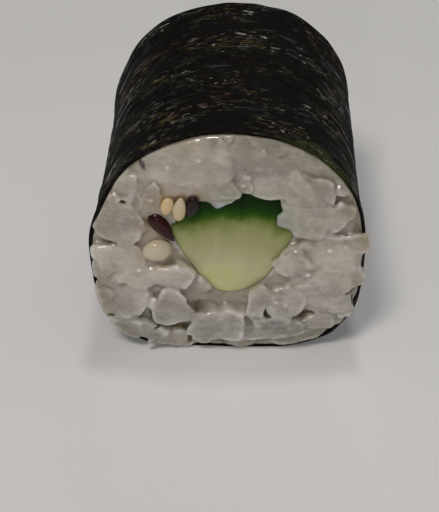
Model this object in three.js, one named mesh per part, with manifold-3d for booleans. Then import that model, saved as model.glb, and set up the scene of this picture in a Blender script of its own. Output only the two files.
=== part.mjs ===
// Cucumber maki roll: a strip of cucumber in sushi rice, rolled up in one sheet of nori and cut to length.
// Millimetres. X runs across the roll, Y along it and Z up. The front cut faces -Y and the roll lies on Z = 0.

import * as THREE from 'three';
import { mergeVertices } from 'three/addons/utils/BufferGeometryUtils.js';
import Module from 'manifold-3d';

const wasm = await Module();
wasm.setup();

// The roll: width and height are those of the cuts
const WIDTH = 27;
const HEIGHT = 26.2;
const LENGTH = 28;
const TOP_POWER = 2.14;       // superellipse power of the upper half: nearly an ellipse
const BOTTOM_POWER = 3.15;    // squarer below, where the roll has settled
const FLAT_DEPTH = 0.2;       // how much the underside is pressed flat
const WAIST = 0.02;           // how much smaller the section is halfway between the cuts

// The nori: one sheet that goes round once and overlaps itself on the lower left
const SHEET = 0.35;
const SHEET_STEPS = 72;       // around one full turn
const LAP_START = 185;        // degrees, where the inner end of the sheet lies
const LAP_LENGTH = 50;        // degrees covered twice
const LAP_RAMP = 30;          // degrees over which the sheet climbs onto its inner end
const LAP_AIR = 0.1;          // air between the two layers
const LENGTH_STEPS = 6;

// The cucumber strip's section: where its outline starts, then [handle, end] of each curve, across and up
const CUCUMBER_START = [-6.4, 17.1];
const CUCUMBER_CURVES = [
  [-5.9, 14.0, -3.6, 10.4],
  [-2.0, 7.3, -0.3, 7.3],
  [1.9, 7.3, 3.6, 9.4],
  [5.4, 12.0, 6.4, 15.6],
  [6.2, 17.8, 4.2, 18.8],
  [0.2, 20.4, -6.4, 17.1],
];

// Clearances and depths
const GAP = 0.3;              // between neighbouring pieces
const CORE_MARGIN = 0.2;      // the rice core stays this far inside the outermost grains
const CORE_RECESS = 0.6;      // from the edge of the nori in to the end of the core
const CUCUMBER_RECESS = 0.1;  // from the edge of the nori in to the cut end of the cucumber
const OVERHANG = 0.2;         // how far grains outside the cut reach past the nori's outline

// Rice, by eye: [across, up, length, width, turn in degrees, how far it stands out of the cut]
const FRONT_GRAINS = [
  [-10.1, 20.1, 3.6, 2.7, 75, 0.3],
  [-11.9, 19, 1.9, 1.3, 5, 0.5],
  [-10.5, 16.2, 4.9, 4.3, -10, 0.95],
  [-7.7, 19, 4.4, 2.5, 80, 0.6],
  [-12.7, 12.8, 2.2, 1.9, 0, 1.15],
  [-12.5, 10.5, 2.7, 2.1, 0, 0.75],
  [-10.3, 12.3, 3.9, 3.2, 0, 0.85],
  [-9.2, 9.8, 4.8, 2.3, -2, 0.9],
  [-5.8, 9.8, 4.8, 2.5, -8, 1.15],
  [-12.9, 7, 3.3, 2, 85, 0.9],
  [-10.1, 6.5, 4.4, 4, 20, 0.95],
  [-5.8, 6.3, 4.3, 3.6, 90, 1.4],
  [-10.7, 3.2, 4.6, 2.7, -22, 0.85],
  [-8.4, 2.6, 3.8, 2.6, -12, 0.9],
  [-6, 1.8, 3.9, 2.3, -15, 0.7],
  [-2.3, 3.5, 4.5, 3, 62, 1.4],
  [0, 3.7, 4.4, 3.1, 82, 1.4],
  [2.7, 7.1, 3.9, 2, 84, 1.45],
  [5.5, 6.8, 4.2, 3.3, -10, 1.05],
  [5, 3.6, 4.9, 2.6, 3, 1.3],
  [9.1, 3.9, 3.6, 1.8, 12, 0.75],
  [9.4, 7.5, 6, 4.6, 0, 1],
  [5.7, 11.5, 3.4, 2.7, 0, 1.15],
  [7.4, 10.9, 2.5, 0.9, 95, 1.3],
  [9.9, 11.2, 5.6, 3.3, 0, 1.05],
  [11.3, 13.9, 5.2, 1.9, -3, 1.15],
  [12.1, 10, 2.5, 2.2, 80, 0.7],
  [7.2, 16.6, 5.4, 3.7, -20, 0.9],
  [9.8, 17.1, 2.5, 1.7, 75, 1.1],
  [5.9, 19.7, 5, 1.8, -52, 0.7],
  [7.2, 20.2, 5, 1.7, -50, 0.95],
  [8.5, 20.3, 4.6, 1.9, -48, 0.8],
  [8.1, 18.2, 4.4, 2, -22, 1.05],
  [11.5, 18, 3.3, 2.6, 70, -0.05],
  [10.3, 20.1, 1.3, 0.7, 0, 0.7],
  [11.2, 14.8, 3, 2.2, 10, -0.6],
  [-1.3, 19, 4.2, 3.5, 0, 0.55],
  [4, 20.3, 3.6, 2.6, 15, 0.45],
  [1.2, 20.9, 1.5, 0.7, 60, 0.55],
  [-3.5, 6, 4, 2.4, 10, -0.4],
  [3.6, 8.3, 3.8, 2.2, 35, -0.1],
];

// Sesame seeds on the front cut, laid out as the grains are
const FRONT_SEEDS = [
  [-6.6, 15.6, 3.8, 1.75, 128, 1.05],
  [-7.2, 12.9, 2.9, 2.4, 5, 1.4],
  [-6.1, 18.1, 1.9, 1.3, 75, 0.9],
  [-4.9, 17.9, 2.9, 1.3, -98, 1.1],
  [-3.75, 18, 2.5, 1.4, 78, 0.9],
];

// Rice and seeds that are laid out by rule
const GRAIN_LENGTH = [4.6, 6.2];
const GRAIN_WIDTH = [2.4, 2.9];
const GRAIN_SPACING = 2.35;   // least distance between the middles of two grains
const GRAIN_TRIES = 900;
const GRAIN_DIP = 12;         // degrees, the most that a grain's end dips into the core
const TURN_SPREAD_MIDDLE = 260; // degrees that the grains' turns spread over, in the middle of a cut
const TURN_SPREAD_EDGE = 40;  // the same next to the sheet, where they lie along it
const TOP_PROUD = 0.1;        // how far they stand out of a cut at the top of the roll
const FRONT_FOOT_PROUD = 0.1; // the same at its foot, under the grains placed by eye
const BACK_FOOT_PROUD = 0.9;
const PROUD_SPREAD = 0.3;     // between the grain that stands out most and the one that does least
const GRAIN_BLUNTNESS = 0.65; // power under 1 that fills out the ends of an ellipsoid
const GRAIN_SIDES = 6;
const GRAIN_RINGS = 4;
const SEED_LENGTH = 3.1;
const SEED_WIDTH = 1.8;
const SEED_PROUD = 1.0;
const SEED_ARC = [20, 160];   // degrees round the middle: where the seeds start, and how far they spread
const SEED_DRIFT = 0.6;       // share of the way to the next seed that one may drift
const SEED_REACH = [7.6, 9.2]; // from the middle of the cut
const BACK_SEEDS = 5;
const FRONT_SEED_NUMBER = 11; // seeds of the random draws
const BACK_SEED_NUMBER = 29;

const FRONT = -1;
const BACK = 1;
const CURVE_STEPS = 6;        // straight stretches in each curve of the cucumber's outline
const WELD = 1e-4;            // corners of a mesh nearer than this are one
const MIDDLE_UP = (HEIGHT + FLAT_DEPTH) / 2 - FLAT_DEPTH;
const radians = THREE.MathUtils.degToRad;

const MATERIALS = {
  nori: new THREE.MeshStandardMaterial({ color: 0x1b1814, roughness: 0.45, metalness: 0 }),
  rice: new THREE.MeshStandardMaterial({ color: 0xd9d0c2, roughness: 0.5, metalness: 0 }),
  cucumber: new THREE.MeshStandardMaterial({ color: 0xa9a75c, roughness: 0.35, metalness: 0 }),
};

// A point of the roll's section, at an angle round its middle and some way in from the outline.
function sectionPoint(angle, inset) {
  const power = Math.sin(angle) >= 0 ? TOP_POWER : BOTTOM_POWER;
  const across = Math.abs(Math.cos(angle)) / (WIDTH / 2);
  const up = Math.abs(Math.sin(angle)) / ((HEIGHT + FLAT_DEPTH) / 2);
  const radius = (across ** power + up ** power) ** (-1 / power) - inset;
  const height = Math.max(MIDDLE_UP + radius * Math.sin(angle), inset);
  return new THREE.Vector2(radius * Math.cos(angle), height);
}

function sectionShape(inset) {
  const points = [];
  for (let step = 0; step < SHEET_STEPS; step += 1) {
    points.push(sectionPoint((2 * Math.PI * step) / SHEET_STEPS, inset));
  }
  return new THREE.Shape(points);
}

// The section of the sheet: its outer side one way round, then its inner side back again.
function sheetShape() {
  const stepAngle = 360 / SHEET_STEPS;
  const outside = [];
  const inside = [];
  for (let turned = 0; turned <= 360 + LAP_LENGTH; turned += stepAngle) {
    const climb = THREE.MathUtils.smoothstep(turned, 360 - LAP_RAMP, 360 - stepAngle);
    const lift = climb * (SHEET + LAP_AIR);
    const angle = radians(LAP_START + turned);
    outside.push(sectionPoint(angle, -lift));
    inside.push(sectionPoint(angle, SHEET - lift));
  }
  return new THREE.Shape([...outside, ...inside.reverse()]);
}

// The cut end of the cucumber strip: skin across the top, flesh below, the seed core at the foot.
function cucumberShape() {
  const shape = new THREE.Shape();
  shape.moveTo(...CUCUMBER_START);
  CUCUMBER_CURVES.forEach((curve) => shape.quadraticCurveTo(...curve));
  return shape;
}

// The same outline moved out along its normals, for the channel that the strip lies in.
function grownShape(shape, distance) {
  const points = shape.getPoints(CURVE_STEPS).slice(0, -1);
  const grown = points.map((point, index) => {
    const before = points[(index + points.length - 1) % points.length];
    const after = points[(index + 1) % points.length];
    const along = after.clone().sub(before).normalize();
    return new THREE.Vector2(point.x + along.y * distance, point.y - along.x * distance);
  });
  return new THREE.Shape(grown);
}

// A section swept along the roll, from one place on Y to another.
function sweep(shape, from, to, steps) {
  const geometry = new THREE.ExtrudeGeometry(shape, {
    depth: to - from,
    steps,
    curveSegments: CURVE_STEPS,
    bevelEnabled: false,
  });
  geometry.rotateX(Math.PI / 2);
  geometry.translate(0, to, 0);
  return geometry;
}

function toSolid(geometry) {
  const bare = geometry.clone();
  bare.deleteAttribute('normal');
  bare.deleteAttribute('uv');
  const merged = mergeVertices(bare, WELD);
  return new wasm.Manifold(new wasm.Mesh({
    numProp: 3,
    vertProperties: merged.attributes.position.array,
    triVerts: new Uint32Array(merged.index.array),
  }));
}

function toGeometry(solid) {
  const mesh = solid.getMesh();
  const geometry = new THREE.BufferGeometry();
  geometry.setAttribute('position', new THREE.BufferAttribute(new Float32Array(mesh.vertProperties), 3));
  geometry.setIndex(new THREE.BufferAttribute(new Uint32Array(mesh.triVerts), 1));
  return geometry;
}

// The section is a little smaller between the cuts. It shrinks towards the floor, so the underside stays flat.
function waisted(geometry) {
  const position = geometry.attributes.position;
  for (let index = 0; index < position.count; index += 1) {
    const along = position.getY(index) / (LENGTH / 2);
    const share = 1 - WAIST * (1 - along ** 4);
    position.setX(index, position.getX(index) * share);
    position.setZ(index, position.getZ(index) * share);
  }
  geometry.computeVertexNormals();
  return geometry;
}

// A seeded random number generator, so that the layout is the same each time.
function randomNumbers(seed) {
  let state = seed;
  return () => {
    state = (state + 0x6d2b79f5) | 0;
    let mixed = Math.imul(state ^ (state >>> 15), 1 | state);
    mixed = (mixed + Math.imul(mixed ^ (mixed >>> 7), 61 | mixed)) ^ mixed;
    return ((mixed ^ (mixed >>> 14)) >>> 0) / 4294967296;
  };
}

// A sphere of few sides, one across and along X, with its ends filled out so that they are blunt.
function bluntSphere() {
  const geometry = new THREE.SphereGeometry(0.5, GRAIN_SIDES, GRAIN_RINGS);
  geometry.rotateZ(Math.PI / 2);
  const position = geometry.attributes.position;
  const point = new THREE.Vector3();
  for (let index = 0; index < position.count; index += 1) {
    point.fromBufferAttribute(position, index);
    const around = Math.hypot(point.y, point.z);
    const fuller = around > 1e-6 ? (2 * around) ** (GRAIN_BLUNTNESS - 1) : 0;
    const end = Math.sign(point.x) * 0.5 * Math.abs(2 * point.x) ** GRAIN_BLUNTNESS;
    position.setXYZ(index, end, point.y * fuller, point.z * fuller);
  }
  return geometry;
}

// One grain or seed, its long axis lying in the cut.
function grainSolid(row, end, dip) {
  const [across, up, length, width, turn, proud] = row;
  const geometry = bluntSphere();
  geometry.scale(length, width, width);
  geometry.rotateZ(radians(dip));
  geometry.rotateY(-radians(turn));
  geometry.translate(across, end * (LENGTH / 2 + proud - width / 2), up);
  return toSolid(geometry);
}

function insideShape(points, across, up) {
  let inside = false;
  points.forEach((point, index) => {
    const next = points[(index + 1) % points.length];
    const crosses = (point.y > up) !== (next.y > up);
    const where = point.x + ((up - point.y) * (next.x - point.x)) / (next.y - point.y);
    if (crosses && across < where) inside = !inside;
  });
  return inside;
}

// Grains drawn at random over the cut, from the sheet inwards, and kept where no earlier grain is near. They
// stand further out of the cut towards the foot of the roll, and lie along the sheet near its edge.
function grainsByRule(random, placed, footProud) {
  const channel = grownShape(cucumberShape(), GAP).getPoints();
  const rows = [];
  for (let attempt = 0; attempt < GRAIN_TRIES; attempt += 1) {
    const angle = 2 * Math.PI * random();
    const rim = sectionPoint(angle, SHEET + GAP + GRAIN_WIDTH[0] / 2);
    const reach = Math.sqrt(1 - attempt / GRAIN_TRIES);
    const across = rim.x * reach;
    const up = MIDDLE_UP + (rim.y - MIDDLE_UP) * reach;
    const length = THREE.MathUtils.lerp(GRAIN_LENGTH[0], GRAIN_LENGTH[1], random());
    const width = THREE.MathUtils.lerp(GRAIN_WIDTH[0], GRAIN_WIDTH[1], random());
    const alongSheet = THREE.MathUtils.radToDeg(angle) + 90;
    const turnSpread = THREE.MathUtils.lerp(TURN_SPREAD_MIDDLE, TURN_SPREAD_EDGE, reach);
    const turn = alongSheet + (random() - 0.5) * turnSpread;
    const usualProud = THREE.MathUtils.lerp(footProud, TOP_PROUD, up / HEIGHT);
    const proud = usualProud + (random() - 0.5) * PROUD_SPREAD;
    const clear = [...placed, ...rows].every(
      (other) => Math.hypot(other[0] - across, other[1] - up) > GRAIN_SPACING,
    );
    if (clear && !insideShape(channel, across, up)) {
      rows.push([across, up, length, width, turn, proud]);
    }
  }
  return rows;
}

// Seeds lie round the top of the cucumber on the back cut.
function seedsByRule(random) {
  const rows = [];
  for (let count = 0; count < BACK_SEEDS; count += 1) {
    const share = (count + random() * SEED_DRIFT) / BACK_SEEDS;
    const angle = radians(SEED_ARC[0] + SEED_ARC[1] * share);
    const reach = THREE.MathUtils.lerp(SEED_REACH[0], SEED_REACH[1], random());
    const across = reach * Math.cos(angle);
    const up = MIDDLE_UP + reach * Math.sin(angle);
    rows.push([across, up, SEED_LENGTH, SEED_WIDTH, 180 * random(), SEED_PROUD]);
  }
  return rows;
}

function grainSolids(rows, end, random) {
  return rows.map((row) => grainSolid(row, end, GRAIN_DIP * (2 * random() - 1)));
}

function makeNori() {
  return sweep(sheetShape(), -LENGTH / 2, LENGTH / 2, LENGTH_STEPS);
}

function makeCucumber() {
  const half = LENGTH / 2 - CUCUMBER_RECESS;
  return sweep(cucumberShape(), -half, half, LENGTH_STEPS);
}

// The rice: a core, the grains and seeds that show at both cuts, and the channel for the cucumber.
function makeRice() {
  const frontRandom = randomNumbers(FRONT_SEED_NUMBER);
  const backRandom = randomNumbers(BACK_SEED_NUMBER);
  const frontRows = [...FRONT_GRAINS, ...grainsByRule(frontRandom, FRONT_GRAINS, FRONT_FOOT_PROUD)];
  const backRows = grainsByRule(backRandom, [], BACK_FOOT_PROUD);
  const pieces = [
    ...grainSolids(frontRows, FRONT, frontRandom),
    ...grainSolids(FRONT_SEEDS, FRONT, frontRandom),
    ...grainSolids(backRows, BACK, backRandom),
    ...grainSolids(seedsByRule(backRandom), BACK, backRandom),
  ];

  const far = LENGTH;
  const edge = LENGTH / 2 + GAP;
  const insideSheet = toSolid(sweep(sectionShape(SHEET + GAP), -far, far, 1));
  const beforeFront = toSolid(sweep(sectionShape(-OVERHANG), -far, -edge, 1));
  const behindBack = toSolid(sweep(sectionShape(-OVERHANG), edge, far, 1));
  const room = insideSheet.add(beforeFront).add(behindBack);

  const coreHalf = LENGTH / 2 - CORE_RECESS;
  const core = toSolid(sweep(sectionShape(SHEET + GAP + CORE_MARGIN), -coreHalf, coreHalf, LENGTH_STEPS));
  const channelHalf = LENGTH / 2 - CUCUMBER_RECESS + GAP;
  const channel = toSolid(sweep(grownShape(cucumberShape(), GAP), -channelHalf, channelHalf, 1));

  const joined = wasm.Manifold.union(pieces).intersect(room).add(core).subtract(channel);
  const bodies = joined.decompose();
  bodies.sort((one, other) => other.volume() - one.volume());
  return toGeometry(bodies[0]);
}

const roll = new THREE.Group();
const pieces = { nori: makeNori(), rice: makeRice(), cucumber: makeCucumber() };
Object.entries(pieces).forEach(([name, geometry]) => {
  const mesh = new THREE.Mesh(waisted(geometry), MATERIALS[name]);
  mesh.name = name;
  roll.add(mesh);
});

// The origin is under the middle of the whole roll, on the floor.
const bounds = new THREE.Box3().setFromObject(roll);
const middle = bounds.getCenter(new THREE.Vector3());
roll.position.set(-middle.x, -middle.y, -bounds.min.z);

export default roll;
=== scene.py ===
"""The looks of a cucumber maki roll: rice grains, nori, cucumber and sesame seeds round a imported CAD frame.

Shapes are worked out in roll coordinates, in millimetres: X across the roll, Y along it from the front cut
(-Y) to the back cut (+Y), Z up from the surface it lies on. On a cut, "out" is the distance out of the plane
of the nori's edge.
"""

from collections import namedtuple
from math import cos, degrees, hypot, pi, radians, sin, sqrt

import bmesh
import bpy
import numpy as np
import openvdb
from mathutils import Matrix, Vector


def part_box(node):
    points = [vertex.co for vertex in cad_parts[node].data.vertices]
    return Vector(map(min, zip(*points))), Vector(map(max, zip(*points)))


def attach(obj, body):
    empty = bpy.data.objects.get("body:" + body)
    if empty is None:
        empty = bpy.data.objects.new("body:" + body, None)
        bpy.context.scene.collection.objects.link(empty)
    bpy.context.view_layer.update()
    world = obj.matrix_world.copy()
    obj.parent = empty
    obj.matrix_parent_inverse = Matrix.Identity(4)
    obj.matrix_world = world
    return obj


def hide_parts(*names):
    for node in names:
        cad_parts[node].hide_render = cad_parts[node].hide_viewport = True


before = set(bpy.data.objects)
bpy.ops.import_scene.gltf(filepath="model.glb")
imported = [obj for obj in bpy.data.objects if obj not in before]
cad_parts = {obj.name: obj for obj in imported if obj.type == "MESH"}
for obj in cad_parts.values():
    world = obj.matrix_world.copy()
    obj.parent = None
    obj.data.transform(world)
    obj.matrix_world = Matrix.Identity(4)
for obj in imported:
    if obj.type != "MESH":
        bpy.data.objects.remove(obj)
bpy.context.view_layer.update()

MM = 0.001
FRONT = -1
BACK = 1

# The roll, as in the CAD
WIDTH = 27.0
HEIGHT = 26.2
LENGTH = 28.0
TOP_POWER = 2.14
BOTTOM_POWER = 3.15
FLAT_DEPTH = 0.2
WAIST = 0.02
SHEET = 0.35
LAP_START = 185.0
LAP_LENGTH = 50.0
LAP_RAMP = 30.0
LAP_AIR = 0.1
MIDDLE_UP = (HEIGHT + FLAT_DEPTH) / 2 - FLAT_DEPTH

# The cucumber strip's section: its corners, a handle for the curve from each to the next, and more. Its skin
# starts at corner SKIN_START.
STRIP_CORNERS = [
    (-6.4, 17.1), (-3.6, 10.4), (-0.3, 7.3), (3.6, 9.4), (6.4, 15.6), (4.2, 18.8), (-6.4, 17.1),
]
STRIP_HANDLES = [(-5.9, 14.0), (-2.0, 7.3), (1.9, 7.3), (5.4, 12.0), (6.2, 17.8), (0.2, 20.4)]
STRIP_MIDDLE = (0.0, 13.4)
STRIP_TOP = 18.9
STRIP_RECESS = 0.1
STRIP_RINGS = 35
SKIN_START = 4
CORE_MIDDLE = (-0.8, 8.9)
CORE_REACH = (3.2, 2.6)

# Where the nori is thin and shows green at the front cut: middle and reach in degrees, reach along the roll
THIN_TURN = 50
THIN_SPREAD = 26
THIN_DEPTH = 3.0

Grain = namedtuple("Grain", "across up length width turn proud taper", defaults=[0.0])
Seed = namedtuple("Seed", "across up length width turn proud kind toast point")

# Rice: across, up, length, width, turn in degrees, how far it stands out of the cut, and how
# much wider it is at its far end than in its middle
FRONT_GRAINS = [
    (-10.1, 20.1, 3.6, 2.7, 75, 0.3),
    (-11.9, 19.0, 1.9, 1.3, 5, 0.5),
    (-10.5, 16.2, 4.9, 4.3, -10, 0.95, -0.15),
    (-7.7, 19.0, 4.4, 2.5, 80, 0.6, -0.1),
    (-12.7, 12.8, 2.2, 1.9, 0, 1.15),
    (-12.5, 10.5, 2.7, 2.1, 0, 0.75),
    (-10.3, 12.3, 3.9, 3.2, 0, 0.85),
    (-9.2, 9.8, 4.8, 2.3, -2, 0.9),
    (-5.8, 9.8, 4.8, 2.5, -8, 1.15, 0.1),
    (-12.9, 7.0, 3.3, 2.0, 85, 0.9),
    (-10.1, 6.5, 4.4, 4.0, 20, 0.95),
    (-5.8, 6.3, 4.3, 3.6, 90, 1.4, -0.5),
    (-10.7, 3.2, 4.6, 2.7, -22, 0.85),
    (-8.4, 2.6, 3.8, 2.6, -12, 0.9),
    (-6.0, 1.8, 3.9, 2.3, -15, 0.7),
    (-2.3, 3.5, 4.5, 3.0, 62, 1.4),
    (0.0, 3.7, 4.4, 3.1, 82, 1.4),
    (2.7, 7.1, 3.9, 2.0, 84, 1.45, 0.15),
    (5.5, 6.8, 4.2, 3.3, -10, 1.05),
    (5.0, 3.6, 4.9, 2.6, 3, 1.3),
    (9.1, 3.9, 3.6, 1.8, 12, 0.75),
    (9.4, 7.5, 6.0, 4.6, 0, 1.0),
    (5.7, 11.5, 3.4, 2.7, 0, 1.15, 0.3),
    (7.4, 10.9, 2.5, 0.9, 95, 1.3),
    (9.9, 11.2, 5.6, 3.3, 0, 1.05),
    (11.3, 13.9, 5.2, 1.9, -3, 1.15, -0.1),
    (12.1, 10.0, 2.5, 2.2, 80, 0.7),
    (7.2, 16.6, 5.4, 3.7, -20, 0.9),
    (9.8, 17.1, 2.5, 1.7, 75, 1.1),
    (5.9, 19.7, 5.0, 1.8, -52, 0.7),
    (7.2, 20.2, 5.0, 1.7, -50, 0.95),
    (8.5, 20.3, 4.6, 1.9, -48, 0.8),
    (8.1, 18.2, 4.4, 2.0, -22, 1.05),
    (11.5, 18.0, 3.3, 2.6, 70, -0.05),
    (10.3, 20.1, 1.3, 0.7, 0, 0.7),
    (11.2, 14.8, 3.0, 2.2, 10, -0.6),
    (-1.3, 19.0, 4.2, 3.5, 0, 0.55),
    (4.0, 20.3, 3.6, 2.6, 15, 0.45),
    (1.2, 20.9, 1.5, 0.7, 60, 0.55),
    (-3.5, 6.0, 4.0, 2.4, 10, -0.4),
    (3.6, 8.3, 3.8, 2.2, 35, -0.1),
]

# Rice that the knife has smeared, in the same terms
FRONT_SMEARS = [
    (-4.2, 22.2, 8.5, 5.2, 8, 0.3),
    (2.6, 22.4, 7.5, 5.2, -12, 0.35),
    (-0.5, 24.4, 13.0, 2.6, 0, 0.05),
    (10.2, 21.2, 5.5, 2.6, -52, -0.05),
]
SMEAR_THICKNESS = 2.6

# Narrow dark gaps between grains: the two ends of each, and its half width
FRONT_GAPS = [
    ((-8.1, 4.7), (-7.8, 4.1), 0.16),
    ((-7.7, 3.2), (-7.0, 3.6), 0.12),
    ((-4.2, 0.8), (-4.1, 2.3), 0.2),
    ((-12.6, 5.0), (-11.9, 5.0), 0.15),
    ((-10.5, 18.6), (-10.2, 18.5), 0.15),
    ((11.6, 8.1), (12.5, 8.2), 0.14),
]
GAP_DEPTH = 1.1

# A scrap of nori that the knife left on the rice, from end to end
SCRAP = ((-8.7, 23.5), (-8.2, 22.2))

# Small wet beads that catch the light: across, up
FRONT_BEADS = [
    (-1.0, 25.4), (-0.1, 25.6), (-3.0, 23.4), (-6.0, 22.5), (3.0, 24.4), (2.1, 25.2),
    (-7.6, 18.9), (-11.6, 19.1), (-9.0, 10.7), (-12.7, 12.5), (7.7, 10.5), (9.7, 13.4),
    (11.2, 13.9), (4.6, 7.0), (5.6, 6.6), (-6.6, 8.2), (1.2, 20.7),
]
BEAD_RADIUS = 0.33
BEAD_RISE = 0.27
BEAD_BLEND = 0.1

# Sesame seeds: across, up, length, width, turn in degrees, how far it stands out, kind, how toasted it is,
# and how pointed, from 1 for a plain oval
FRONT_SEEDS = [
    (-6.6, 15.6, 3.8, 1.75, 128, 1.05, "black", 0.9, 1.5),
    (-7.2, 12.9, 2.9, 2.4, 5, 1.4, "white", 0.0, 1.05),
    (-6.1, 18.1, 1.9, 1.3, 75, 0.9, "white", 0.9, 1.1),
    (-4.9, 17.9, 2.9, 1.3, -98, 1.1, "white", 0.5, 1.2),
    (-3.75, 18.0, 2.5, 1.4, 78, 0.9, "black", 0.1, 1.1),
]

# Grains and seeds by rule, as in the CAD
GAP = 0.3
GRAIN_LENGTH = (4.6, 6.2)
GRAIN_WIDTH = (2.4, 2.9)
GRAIN_SPACING = 2.35
GRAIN_TRIES = 900
GRAIN_DIP = 12.0
TURN_SPREAD = (260, 40)
TOP_PROUD = 0.1
PROUD_SPREAD = 0.3
SEED_LENGTH = 3.1
SEED_WIDTH = 1.8
SEED_PROUD = 1.0
SEED_FLATNESS = 0.72
SEED_ARC = (20, 180)
SEED_DRIFT = 0.6
SEED_REACH = (7.6, 9.2)
SEED_POINT = 1.4
BACK_SEEDS = 5

# The grids of the rice: pitch between the cuts, and reach into the roll and out of it at the cuts
CORE_PITCH = 0.6
CAP_DEPTH = 1.7
GRID_OUT = 2.2

# How far the paste between the grains lies back from the cut
OPEN_RECESS = -0.3
SIDE_RECESS = 0.2
FOOT_RECESS = 0.5
TOP_RECESS = 0.15
RIM_RECESS = 0.1

# A grain's form, and how softly the shapes run into each other
GRAIN_POWER = 2.8
GRAIN_PLUMPNESS = 1.06
GRAIN_THICKNESS = 2.4
GRAIN_LIFT = 0.2
GRAIN_TILT = 0.22
GRAIN_BREAKS = 3
GRAIN_MARGIN = 1.2
SMEAR_BLEND = 0.85
FUSED_BLEND = 0.6
LEFT_FUSED = 0.35

# Broken bits of rice, stuck all over the cut
BIT_LENGTH = (1.8, 3.6)
BIT_WIDTH = (1.3, 2.2)
BIT_THICKNESS = 1.8
BIT_SPACING = 1.9
BIT_TRIES = 500
BIT_BLEND = 0.2
BIT_ROOM = 0.9

# How far out of the cut the knife left the rice, at the foot and at the top
KNIFE_OUT = (1.5, 0.5)

# How far the rice laps over the strip's foot, how thin it is there, how far it bulges over the nori's edge,
# and the air between pieces
FOOT_COVER = 0.3
FILM = 0.25
OVERHANG = 0.25
TOUCH = 0.04

# How pale the rice is kept at the foot and at the sides as painted shade, the reach of the average that shows
# up its ridges, and where pockets start under the knife's height and how deep their painted shade gets
FOOT_SHADE_TONE = 0.45
SHADED_TONE = 0.6
RIDGE_REACH = 0.34
POCKET_START = 0.35
POCKET_DEPTH = 1.5

# The two cuts: their random streams, how far grains by rule stand out at the foot, the grid's pitch, how
# softly grains run together, how far rice laps over the strip's upper part, and what lies there, listed
CUTS = {
    FRONT: {
        "stream": 11, "foot_proud": 0.1, "pitch": 0.16, "blend": 0.3, "cover": 2.2, "noise": 100,
        "grains": FRONT_GRAINS, "smears": FRONT_SMEARS, "seeds": FRONT_SEEDS,
        "gaps": FRONT_GAPS, "beads": FRONT_BEADS,
    },
    BACK: {
        "stream": 29, "foot_proud": 0.9, "pitch": 0.19, "blend": 0.16, "cover": 0.8, "noise": 500,
        "grains": [], "smears": [], "seeds": [], "gaps": [], "beads": [],
    },
}

# Colours, in linear light
RICE_TONES = ((0.365, 0.312, 0.256, 1), (0.635, 0.562, 0.487, 1))
# Darker, cooler rice low down: painted shade
SHADED_LOW_RICE_TONES = ((0.237, 0.216, 0.191, 1), (0.53, 0.497, 0.463, 1))
# Painted highlight on the grains' sharp edges
RICE_EDGE_HIGHLIGHT = (0.9, 0.87, 0.83, 1)
RICE_STARCH = (0.86, 0.81, 0.76, 1)
# Small pale specks: painted glints
RICE_GLINT_SPECK = (0.92, 0.89, 0.85, 1)
# Painted shade in the creases between grains
RICE_CREASE_SHADE = (0.195, 0.175, 0.13, 1)
# Painted shade in pockets below the knife's height
RICE_POCKET_SHADE = (0.4, 0.35, 0.21, 1)
# Darker, browner rice along the nori's rim: painted shade
NORI_RIM_SHADE = (0.3, 0.25, 0.14, 1)
SKIN_STAIN = (0.35, 0.42, 0.25, 1)
SEED_STAIN = (0.42, 0.3, 0.16, 1)
SCRAP_RED = (0.06, 0.004, 0.003, 1)

NORI_DARK = (0.0052, 0.0038, 0.003, 1)
# Painted sheen in grey patches
NORI_SHEEN_GREY = (0.052, 0.06, 0.056, 1)
NORI_GREEN = (0.05, 0.068, 0.012, 1)
# Painted glints on the nori
NORI_PAINTED_GLINT = (0.62, 0.6, 0.53, 1)
# Painted sheen and highlights on the wrinkles of the flanks
NORI_LINE_SHEEN = (0.18, 0.17, 0.17, 1)
NORI_LINE_HIGHLIGHT = (0.6, 0.58, 0.58, 1)
# The sheet's own mottling and painted glints
NORI_MOTTLE_AND_GLINTS = [
    (0.38, (0.1, 0.112, 0.105)),
    (0.46, (0.125, 0.135, 0.04)),
    (0.56, (0.16, 0.13, 0.04)),
    (0.64, (0.11, 0.056, 0.044)),
]

# The cucumber's colours, each at its share of the way down from the skin
FLESH_DEPTH = 12.0
STRIP_COLOURS = [
    (0.0, (0.006, 0.022, 0.002)),
    (0.09, (0.008, 0.038, 0.002)),
    (0.16, (0.016, 0.08, 0.003)),
    (0.2, (0.06, 0.13, 0.008)),
    (0.25, (0.22, 0.265, 0.07)),
    (0.33, (0.39, 0.4, 0.175)),
    (0.5, (0.53, 0.51, 0.29)),
    (0.7, (0.66, 0.63, 0.38)),
    (0.95, (0.72, 0.7, 0.42)),
]
STRIP_FIBRE = (0.74, 0.71, 0.5, 1)
STRIP_BORDER = (0.27, 0.33, 0.08, 1)
STRIP_CORE = (0.68, 0.67, 0.29, 1)

# Sesame: raw colour, toasted colour, specular level, coat and subsurface
SEED_LOOKS = {
    "white": ((0.71, 0.61, 0.45, 1), (0.78, 0.59, 0.33, 1), 0.3, 0.5, 0.3),
    "black": ((0.016, 0.011, 0.012, 1), (0.036, 0.005, 0.004, 1), 0.12, 0.35, 0.0),
}

# The camera, from a fit to the photograph: its place, its direction in degrees, and its lens
CAMERA_PLACE = (0.99, -109.4, 83.6)
CAMERA_YAW = -1.25
CAMERA_PITCH = 36.9
CAMERA_LENS = 84.4

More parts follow.
